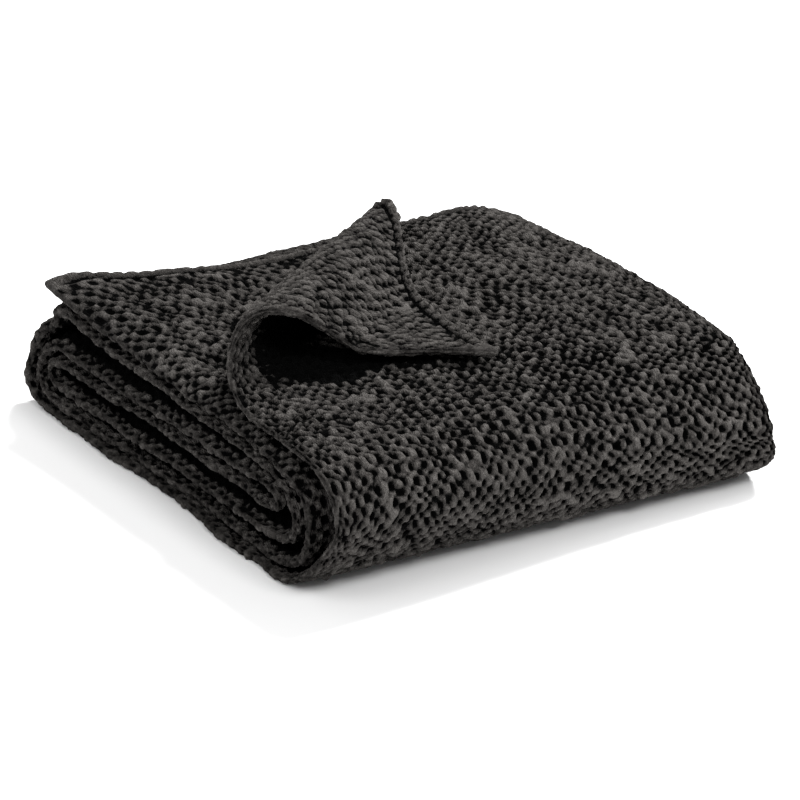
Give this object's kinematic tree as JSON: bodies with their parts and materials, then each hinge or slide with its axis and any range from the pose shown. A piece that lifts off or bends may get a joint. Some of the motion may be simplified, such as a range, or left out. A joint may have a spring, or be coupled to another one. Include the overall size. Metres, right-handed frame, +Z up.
{
  "type": "folded blanket",
  "caption": "Thick waffle weave cotton blanket folded into a low pack, rounded along the front, with one corner of the top layer turned back in a soft roll.",
  "frame": {"origin": "middle of the bounding box, on the surface that the pack lies on", "axes": "+X along the rounded front fold, towards the end that is folded over; +Y from the front fold to the back; +Z up"},
  "size_m": [0.4828, 0.5496, 0.2106],
  "materials": {
    "blanket": "matt charcoal cotton"
  },
  "bodies": {
    "root": {"blanket": "blanket"}
  },
  "joints": []
}
